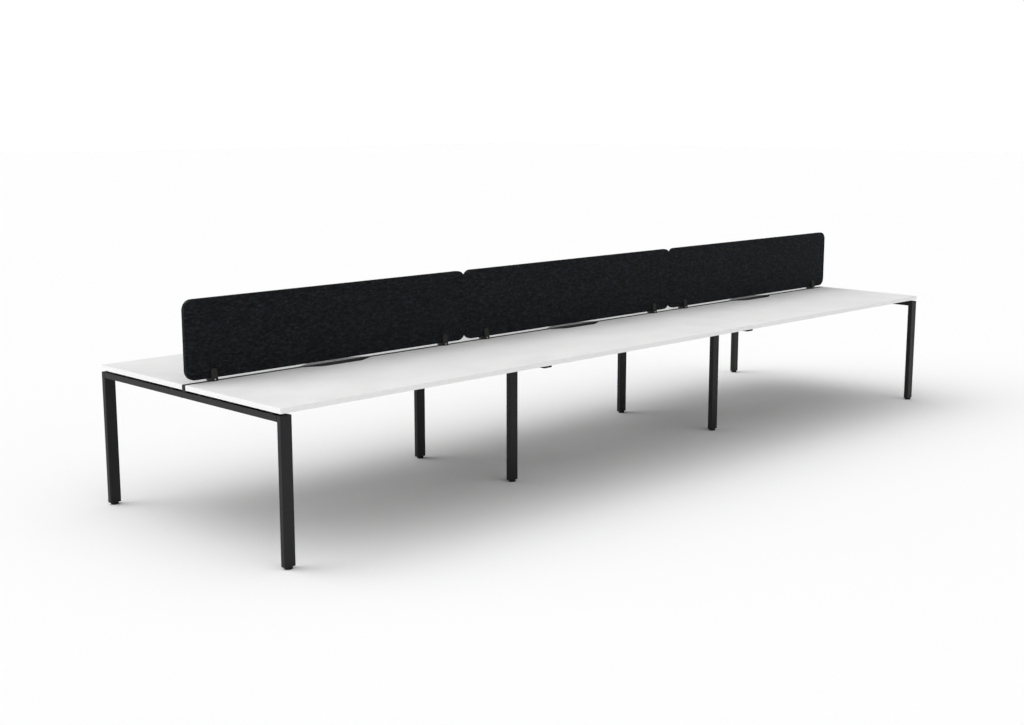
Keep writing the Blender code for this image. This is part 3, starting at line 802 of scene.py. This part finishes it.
def build_feet():
    """Screw a levelling foot into each leg: a moulded base on a zinc-plated stem."""
    for kind in KINDS:
        for side, _sign in SIDES:
            for frame_name, _way in ENDS:
                name = f"{kind}_foot_{side}_{frame_name}"
                low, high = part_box(name)
                cx, cy, _cz = middle_of(low, high)
                radius = (high[0] - low[0]) / 2
                lower = soft_edge(FOOT_LOWER_ROUND, 4)[::-1]
                profile = [(radius - inset, z) for inset, z in (*FOOT_SOLE, *lower, *FOOT_LINE)]
                for inset, drop in (*soft_edge(FOOT_UPPER_ROUND, 3), *FOOT_DISH):
                    profile.append((radius - inset, STEM_BASE - drop))
                profile += [(hub, STEM_BASE - drop) for hub, drop in FOOT_HUB]
                bm = bmesh.new()
                add_lathe(bm, profile, (cx, cy), "z", FOOT_SIDES)
                dress(new_object(f"foot_base_{kind}_{side}_{frame_name}", bm), PLASTIC,
                      body=name, nodes=(name,))
                bm = bmesh.new()
                add_thread(bm, cx, cy, STEM_BASE, high[2])
                dress(new_object(f"foot_stem_{kind}_{side}_{frame_name}", bm), ZINC,
                      body=name)


# Screens
def build_screens():
    """Stand the felt-covered screens, each with soft edges and slightly fuller faces."""
    for bay in BAYS:
        name = f"screen_{bay}"
        low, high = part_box(name)
        cx, _cy, cz = middle_of(low, high)
        width, height = high[0] - low[0], high[2] - low[2]
        half = (high[1] - low[1]) / 2
        insets = [SCREEN_EDGE * (1 - math.cos(math.pi / 2 * k / SCREEN_EDGE_STEPS))
                  for k in range(SCREEN_EDGE_STEPS + 1)]
        side_rings = []
        for inset in (*insets, *SCREEN_INSETS):
            radius = max(SCREEN_CORNER - inset, SCREEN_INNER_CORNER - inset * SCREEN_INNER_TAPER)
            outline = rounded_rectangle(width - 2 * inset, height - 2 * inset, radius, SCREEN_STEPS)
            across = max(0.0, SCREEN_EDGE - inset)
            drop = SCREEN_EDGE - math.sqrt(max(0.0, SCREEN_EDGE ** 2 - across ** 2))
            full = min(1.0, inset / SCREEN_CROWN_REACH)
            crown = SCREEN_CROWN * (1 - full * full * (3 - 2 * full))
            side_rings.append((shifted(outline, cx, cz), half - drop - crown))
        rings = [(outline, -y) for outline, y in reversed(side_rings)] + side_rings
        bm = bmesh.new()
        add_loft(bm, rings, "y")
        dress(new_object(f"screen_board_{bay}", bm), FELT, nodes=(name,))


# Screen brackets
def jaw_outer(z):
    """Return how far out the jaw reaches at a height above its base."""
    tip = SLOT_HALF + JAW_TIP
    share = (z - JAW_FOOT) / (BRACKET_HEIGHT - JAW_FOOT)
    reach = BRACKET_DEPTH / 2 + (tip - BRACKET_DEPTH / 2) * max(0.0, share)
    into = max(0.0, z - (BRACKET_HEIGHT - JAW_TIP_ROUND)) / JAW_TIP_ROUND
    return reach - JAW_TIP_ROUND * (1 - math.sqrt(max(0.0, 1 - into * into)))


def build_bracket(name, ending):
    """Make one fork: a split foot on the rail and two tapering jaws with arched tops."""
    low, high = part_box(name)
    cx, _cy, _cz = middle_of(low, high)
    half = (high[0] - low[0]) / 2
    arch_start = BRACKET_HEIGHT - JAW_ARCH
    foot = BRACKET_DEPTH / 2
    shoulder = fillet((foot, JAW_FOOT), (foot, 0), (jaw_outer(JAW_STRAIGHT), JAW_STRAIGHT),
                      JAW_TIP_ROUND, 4)
    outer = [(foot, 0)] + shoulder + [(jaw_outer(arch_start), arch_start)]
    slot = fillet((SLOT_HALF, SLOT_FLOOR), (SLOT_HALF, BRACKET_HEIGHT), (SLIT_HALF, SLOT_FLOOR),
                  SLOT_FILLET, 4)
    inner = [(SLOT_HALF, arch_start)] + slot + [(SLIT_HALF, SLOT_FLOOR), (SLIT_HALF, SLIT_FLOOR)]
    turns = [math.pi / 2 * k / ARCH_STEPS for k in range(1, ARCH_STEPS + 1)]
    bm = bmesh.new()

    def row(points, sign, x_half):
        return [[bm.verts.new((cx + end * x_half, sign * y, low[2] + z)) for y, z in points]
                for end in (-1, 1)]

    def strip(first, second):
        for i in range(len(first) - 1):
            bm.faces.new((first[i], first[i + 1], second[i + 1], second[i]))

    rims = {}
    for sign in (-1, 1):
        out_low = row(outer, sign, half)
        in_low = row(inner, sign, half)
        strip(*out_low)
        strip(*in_low)
        last_out = [ring[-1] for ring in out_low]
        last_in = [ring[0] for ring in in_low]
        for turn in turns:
            z = arch_start + JAW_ARCH * math.sin(turn)
            x_half = half - JAW_ARCH * (1 - math.cos(turn))
            next_out = [ring[0] for ring in row([(jaw_outer(z), z)], sign, x_half)]
            next_in = [ring[0] for ring in row([(SLOT_HALF, z)], sign, x_half)]
            for a, b in ((last_out, next_out), (last_in, next_in)):
                bm.faces.new((a[0], a[1], b[1], b[0]))
            for end in (0, 1):
                bm.faces.new((last_out[end], last_in[end], next_in[end], next_out[end]))
            last_out, last_in = next_out, next_in
        bm.faces.new((last_out[0], last_out[1], last_in[1], last_in[0]))
        rims[sign] = (out_low, in_low)
    for end in (0, 1):
        right_out, right_in = rims[1][0][end], rims[1][1][end]
        left_out, left_in = rims[-1][0][end], rims[-1][1][end]
        bm.faces.new(right_out + right_in + left_in[::-1] + left_out[::-1])
    for wall, last in ((0, 0), (1, -1)):
        a, b, c, d = (rims[sign][wall][end][last] for sign in (1, -1) for end in (0, 1))
        bm.faces.new((a, b, d, c))
    fork = new_object(f"screen_fork_{ending}", bm)
    rounding = fork.modifiers.new("rounded_edges", "BEVEL")
    rounding.width = BRACKET_EDGE
    rounding.segments = 3
    rounding.limit_method = "ANGLE"
    rounding.angle_limit = math.radians(BRACKET_EDGE_ANGLE)
    settle(fork)
    bore = bmesh.new()
    seat = foot - BOLT_RECESS
    add_lathe(bore, [(BOLT_RECESS_RADIUS, -BRACKET_DEPTH), (BOLT_RECESS_RADIUS, -seat),
                     (BOLT_HOLE, -seat), (BOLT_HOLE, seat), (BOLT_RECESS_RADIUS, seat),
                     (BOLT_RECESS_RADIUS, BRACKET_DEPTH)],
              (cx, low[2] + BOLT_LEVEL), "y", BOLT_HOLE_SIDES)
    boolean(fork, new_object("bore", bore), "DIFFERENCE")
    dress(fork, BRACKET_COAT, nodes=(name,))


def build_bracket_bolt(name, ending):
    """Make the bolt that draws a fork together, with a socket head at each end."""
    low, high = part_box(name)
    cx, _cy, cz = middle_of(low, high)
    seat = high[1] - BOLT_HEAD_HEIGHT
    bm = bmesh.new()
    for way in (-1, 1):
        add_socket_head(bm, (cx, cz), way * seat, way, "y", (high[0] - low[0]) / 2,
                        BOLT_HEAD_HEIGHT)
    add_lathe(bm, [(BOLT_SHANK, -seat), (BOLT_SHANK, seat)], (cx, cz), "y", BOLT_SHANK_SIDES)
    dress(new_object(f"fork_bolt_{ending}", bm), ZINC, nodes=(name,))


# Materials
def new_material(name, colour, roughness, metallic=0.0, specular=0.5):
    """Return a new material, its node tree and its Principled shader."""
    material = bpy.data.materials.new(name)
    material.use_nodes = True
    shader = material.node_tree.nodes["Principled BSDF"]
    shader.inputs["Base Color"].default_value = (*colour, 1.0)
    shader.inputs["Roughness"].default_value = roughness
    shader.inputs["Metallic"].default_value = metallic
    shader.inputs["Specular IOR Level"].default_value = specular
    return material, material.node_tree, shader


def grain(tree, scale, stretch=(1, 1, 1), turn=(0, 0, 0), detail=3.0, roughness=0.55,
          distortion=0.0):
    """Return a noise value in the piece's own coordinates, stretched along turned axes."""
    coordinates = tree.nodes.new("ShaderNodeTexCoord")
    mapping = tree.nodes.new("ShaderNodeMapping")
    mapping.vector_type = "TEXTURE"
    mapping.inputs["Rotation"].default_value = [math.radians(a) for a in turn]
    mapping.inputs["Scale"].default_value = [1 / part for part in stretch]
    noise = tree.nodes.new("ShaderNodeTexNoise")
    noise.inputs["Scale"].default_value = scale
    noise.inputs["Detail"].default_value = detail
    noise.inputs["Roughness"].default_value = roughness
    noise.inputs["Distortion"].default_value = distortion
    tree.links.new(coordinates.outputs["Object"], mapping.inputs["Vector"])
    tree.links.new(mapping.outputs["Vector"], noise.inputs["Vector"])
    return noise.outputs["Fac"]


def ranged(tree, value, from_low, from_high, to_low, to_high):
    """Return a value moved from one range to another, and kept in it."""
    node = tree.nodes.new("ShaderNodeMapRange")
    for key, number in (("From Min", from_low), ("From Max", from_high), ("To Min", to_low),
                        ("To Max", to_high)):
        node.inputs[key].default_value = number
    tree.links.new(value, node.inputs["Value"])
    return node.outputs["Result"]


def combined(tree, operation, first, second):
    """Return two values joined by a maths operation; the second may be a number."""
    node = tree.nodes.new("ShaderNodeMath")
    node.operation = operation
    tree.links.new(first, node.inputs[0])
    if isinstance(second, (int, float)):
        node.inputs[1].default_value = second
    else:
        tree.links.new(second, node.inputs[1])
    return node.outputs["Value"]


def blended(tree, first, first_share, second, second_share):
    """Return two values added by their shares."""
    return combined(tree, "ADD", combined(tree, "MULTIPLY", first, first_share),
                    combined(tree, "MULTIPLY", second, second_share))


def tinted(tree, value, positions, colours):
    """Return a colour that follows a value along colours at their positions."""
    node = tree.nodes.new("ShaderNodeValToRGB")
    ramp = node.color_ramp
    while len(ramp.elements) < len(positions):
        ramp.elements.new(0.5)
    for element, position, colour in zip(ramp.elements, positions, colours):
        element.position = position
        element.color = (*colour, 1.0)
    tree.links.new(value, node.inputs["Fac"])
    return node.outputs["Color"]


def raised(tree, shader, height, depth, strength):
    """Give the shader a bumpy surface from a height value, with its depth in metres."""
    node = tree.nodes.new("ShaderNodeBump")
    node.inputs["Distance"].default_value = depth
    node.inputs["Strength"].default_value = strength
    tree.links.new(height, node.inputs["Height"])
    tree.links.new(node.outputs["Normal"], shader.inputs["Normal"])


def laminate():
    """White facing with a fine pearl texture, and a dark grey underside that is painted shade,
    there so the boards throw less light onto the floor beneath.
    """
    material, tree, shader = new_material("white_laminate", (0.913, 0.913, 0.910), 0.45)
    pearl = grain(tree, 1400, detail=2.0)
    cloud = grain(tree, 5, detail=3.0)
    mixed = blended(tree, cloud, 0.6, pearl, 0.4)
    facing = tinted(tree, mixed, TONE_SPAN, FACING)
    underside_shade = tinted(tree, mixed, TONE_SPAN, UNDERSIDE_SHADE)
    upright = tree.nodes.new("ShaderNodeSeparateXYZ")
    normal = tree.nodes.new("ShaderNodeNewGeometry").outputs["Normal"]
    tree.links.new(normal, upright.inputs["Vector"])
    # Painted shade: faces turned downwards take the dark underside tone instead of the white facing
    underside_shade_mix = tree.nodes.new("ShaderNodeMix")
    underside_shade_mix.data_type = "RGBA"
    tree.links.new(ranged(tree, upright.outputs["Z"], -0.9, -0.8, 1.0, 0.0), underside_shade_mix.inputs[0])
    tree.links.new(facing, underside_shade_mix.inputs[6])
    tree.links.new(underside_shade, underside_shade_mix.inputs[7])
    tree.links.new(underside_shade_mix.outputs[2], shader.inputs["Base Color"])
    tree.links.new(ranged(tree, mixed, *TONE_SPAN, 0.40, 0.52), shader.inputs["Roughness"])
    raised(tree, shader, pearl, 0.00002, 0.6)
    return material


def edge_band():
    """White plastic edging: smoother than the facing, with faint lines from its extrusion."""
    material, tree, shader = new_material("white_edge_band", (0.936, 0.936, 0.933), 0.38)
    lines = grain(tree, 1, stretch=(6, 6, 2600), detail=2.0)
    specks = grain(tree, 900, detail=2.0)
    mixed = blended(tree, lines, 0.7, specks, 0.3)
    tree.links.new(tinted(tree, mixed, TONE_SPAN, BANDING), shader.inputs["Base Color"])
    tree.links.new(ranged(tree, mixed, *TONE_SPAN, 0.32, 0.44), shader.inputs["Roughness"])
    raised(tree, shader, mixed, 0.00001, 0.5)
    return material


def coat(name, colours, rough, size, depth):
    """Powder coat or moulded plastic: a dark tone, orange peel and a little uneven gloss."""
    material, tree, shader = new_material(name, colours[0], rough, specular=0.29)
    peel = grain(tree, size, detail=2.5, roughness=0.5)
    patch = grain(tree, 28, detail=4.0)
    mixed = blended(tree, peel, 0.5, patch, 0.5)
    tree.links.new(tinted(tree, mixed, COAT_SPAN, colours), shader.inputs["Base Color"])
    tree.links.new(ranged(tree, mixed, *TONE_SPAN, rough - 0.06, rough + 0.08),
                   shader.inputs["Roughness"])
    raised(tree, shader, peel, depth, 0.7)
    return material


def anodised():
    """Black anodised aluminium with fine die lines along the bench."""
    material, tree, shader = new_material("black_anodised", (0.02, 0.02, 0.021), 0.4,
                                          metallic=0.35)
    lines = grain(tree, 1, stretch=(5, 1800, 1800), detail=3.0)
    tree.links.new(tinted(tree, lines, TONE_SPAN, DIE_BLACK), shader.inputs["Base Color"])
    tree.links.new(ranged(tree, lines, *WIDE_SPAN, 0.34, 0.50), shader.inputs["Roughness"])
    raised(tree, shader, lines, 0.00002, 0.5)
    return material


def zinc():
    """Bright zinc plate, slightly cloudy, with fine turning marks."""
    material, tree, shader = new_material("bright_zinc_plate", (0.62, 0.62, 0.61), 0.3,
                                          metallic=1.0)
    cloud = grain(tree, 420, detail=4.0)
    tree.links.new(tinted(tree, cloud, TONE_SPAN, PLATED), shader.inputs["Base Color"])
    tree.links.new(ranged(tree, cloud, *WIDE_SPAN, 0.20, 0.40), shader.inputs["Roughness"])
    raised(tree, shader, grain(tree, 2600, detail=2.0), 0.00001, 0.5)
    return material


def felt():
    """Charcoal felt: fibres lying every way, paler ones among them, and soft mottling."""
    material, tree, shader = new_material("charcoal_felt", (0.011, 0.0115, 0.0125), 0.97,
                                          specular=0.12)
    shader.inputs["Sheen Weight"].default_value = 0.04
    shader.inputs["Sheen Roughness"].default_value = 0.55
    shader.inputs["Sheen Tint"].default_value = (0.85, 0.92, 1.0, 1.0)
    fibres = None
    for turn, size in ((12, 1.0), (66, 0.9), (158, 1.1)):
        layer = grain(tree, size, stretch=(150, 1900, 1900), turn=(0, turn, 0), detail=2.0,
                      distortion=0.4)
        fibres = layer if fibres is None else combined(tree, "MAXIMUM", fibres, layer)
    pale = None
    for turn, stretch, distortion in ((112, (120, 2100, 2100), 0.8), (43, (130, 2300, 2300), 0.7)):
        layer = grain(tree, 1, stretch=stretch, turn=(0, turn, 0), detail=1.0,
                      distortion=distortion)
        pale = layer if pale is None else combined(tree, "MAXIMUM", pale, layer)
    mottle = grain(tree, 1, stretch=(42, 42, 112), detail=4.0, roughness=0.65, distortion=0.5)
    flecks = ranged(tree, pale, 0.66, 0.80, 0.0, 0.15)
    tone = combined(tree, "ADD", blended(tree, fibres, 0.30, mottle, 0.70), flecks)
    yarn = tinted(tree, tone, (0.39, 0.52, 0.62, 0.85), YARN)
    dye = tinted(tree, grain(tree, 34, detail=3.0), (0.40, 0.62), DYE)
    cloth = tree.nodes.new("ShaderNodeVectorMath")
    cloth.operation = "MULTIPLY"
    tree.links.new(yarn, cloth.inputs[0])
    tree.links.new(dye, cloth.inputs[1])
    tree.links.new(cloth.outputs["Vector"], shader.inputs["Base Color"])
    height = combined(tree, "ADD", fibres, combined(tree, "MULTIPLY", pale, 0.6))
    raised(tree, shader, height, 0.0004, 0.8)
    return material


LAMINATE = laminate()
EDGE_BAND = edge_band()
POWDER_COAT = coat("black_powder_coat", POWDER_BLACK, 0.46, 1050, 0.00007)
PLASTIC = coat("black_moulded_plastic", MOULDED_BLACK, 0.56, 2300, 0.00003)
BRACKET_COAT = coat("dark_grey_coat", FORK_GREY, 0.50, 1500, 0.00005)
ANODISED = anodised()
ZINC = zinc()
FELT = felt()


# Studio
def build_floor():
    """Lay a plain pale floor that is seen from above only."""
    material, tree, shader = new_material("pale_floor", FLOOR_TONES[1], 0.9, specular=0.0)
    tone = tinted(tree, grain(tree, 0.6, detail=2.0), WIDE_SPAN, FLOOR_TONES)
    tree.links.new(tone, shader.inputs["Base Color"])
    clear = tree.nodes.new("ShaderNodeBsdfTransparent")
    side = tree.nodes.new("ShaderNodeNewGeometry").outputs["Backfacing"]
    mix = tree.nodes.new("ShaderNodeMixShader")
    tree.links.new(side, mix.inputs["Fac"])
    tree.links.new(shader.outputs["BSDF"], mix.inputs[1])
    tree.links.new(clear.outputs["BSDF"], mix.inputs[2])
    tree.links.new(mix.outputs["Shader"], tree.nodes["Material Output"].inputs["Surface"])
    bm = bmesh.new()
    corners = ((-1, -1), (1, -1), (1, 1), (-1, 1))
    bm.faces.new([bm.verts.new((x * FLOOR_HALF, y * FLOOR_HALF, 0)) for x, y in corners])
    mesh = bpy.data.meshes.new("studio_floor")
    bm.to_mesh(mesh)
    bm.free()
    mesh.materials.append(material)
    floor = bpy.data.objects.new("studio_floor", mesh)
    bpy.context.collection.objects.link(floor)


def build_sky():
    """Light the room softly from all round, most from above and behind on the left."""
    world = bpy.data.worlds.new("studio")
    bpy.context.scene.world = world
    world.use_nodes = True
    tree = world.node_tree
    light = tree.nodes["Background"]
    direction = tree.nodes.new("ShaderNodeTexCoord").outputs["Generated"]
    total = None
    for turn, rise, focus, level in (CEILING, KEY, KEY_WASH, FRONT_FILL):
        turn, rise = math.radians(turn), math.radians(rise)
        node = tree.nodes.new("ShaderNodeVectorMath")
        node.operation = "DOT_PRODUCT"
        node.inputs[1].default_value = (math.cos(rise) * math.cos(turn),
                                        math.cos(rise) * math.sin(turn), math.sin(rise))
        tree.links.new(direction, node.inputs[0])
        lobe = combined(tree, "MAXIMUM", node.outputs["Value"], 0.0)
        lobe = combined(tree, "MULTIPLY", combined(tree, "POWER", lobe, focus), level)
        total = lobe if total is None else combined(tree, "ADD", total, lobe)
    tree.links.new(total, light.inputs["Strength"])
    backdrop = tree.nodes.new("ShaderNodeBackground")
    seen = tree.nodes.new("ShaderNodeLightPath")
    mix = tree.nodes.new("ShaderNodeMixShader")
    light.inputs["Color"].default_value = (1, 1, 1, 1)
    backdrop.inputs["Color"].default_value = (1, 1, 1, 1)
    tree.links.new(seen.outputs["Is Camera Ray"], mix.inputs["Fac"])
    tree.links.new(light.outputs["Background"], mix.inputs[1])
    tree.links.new(backdrop.outputs["Background"], mix.inputs[2])
    tree.links.new(mix.outputs["Shader"], tree.nodes["World Output"].inputs["Surface"])


def add_camera():
    """Stand the camera where the photograph was taken from."""
    camera = bpy.data.cameras.new("camera")
    camera.lens = CAMERA_LENS
    camera.sensor_width = CAMERA_SENSOR
    camera.clip_end = CAMERA_REACH
    stand = bpy.data.objects.new("camera", camera)
    stand.location = CAMERA_PLACE
    stand.rotation_euler = [math.radians(a) for a in CAMERA_TURN]
    bpy.context.collection.objects.link(stand)
    bpy.context.scene.camera = stand


build_tops()
build_legs()
for kind in KINDS:
    for frame_name, _way in ENDS:
        build_cross_rail(kind, frame_name)
build_rail_caps()
build_beams()
build_centre_rail()
build_feet()
build_screens()
for bay in BAYS:
    for number in (1, 2):
        build_bracket(f"screen_bracket_{bay}_{number}", f"{bay}_{number}")
        build_bracket_bolt(f"bracket_bolt_{bay}_{number}", f"{bay}_{number}")
build_floor()
build_sky()
add_camera()
view = bpy.context.scene.view_settings
view.view_transform = "Standard"
view.look = "None"
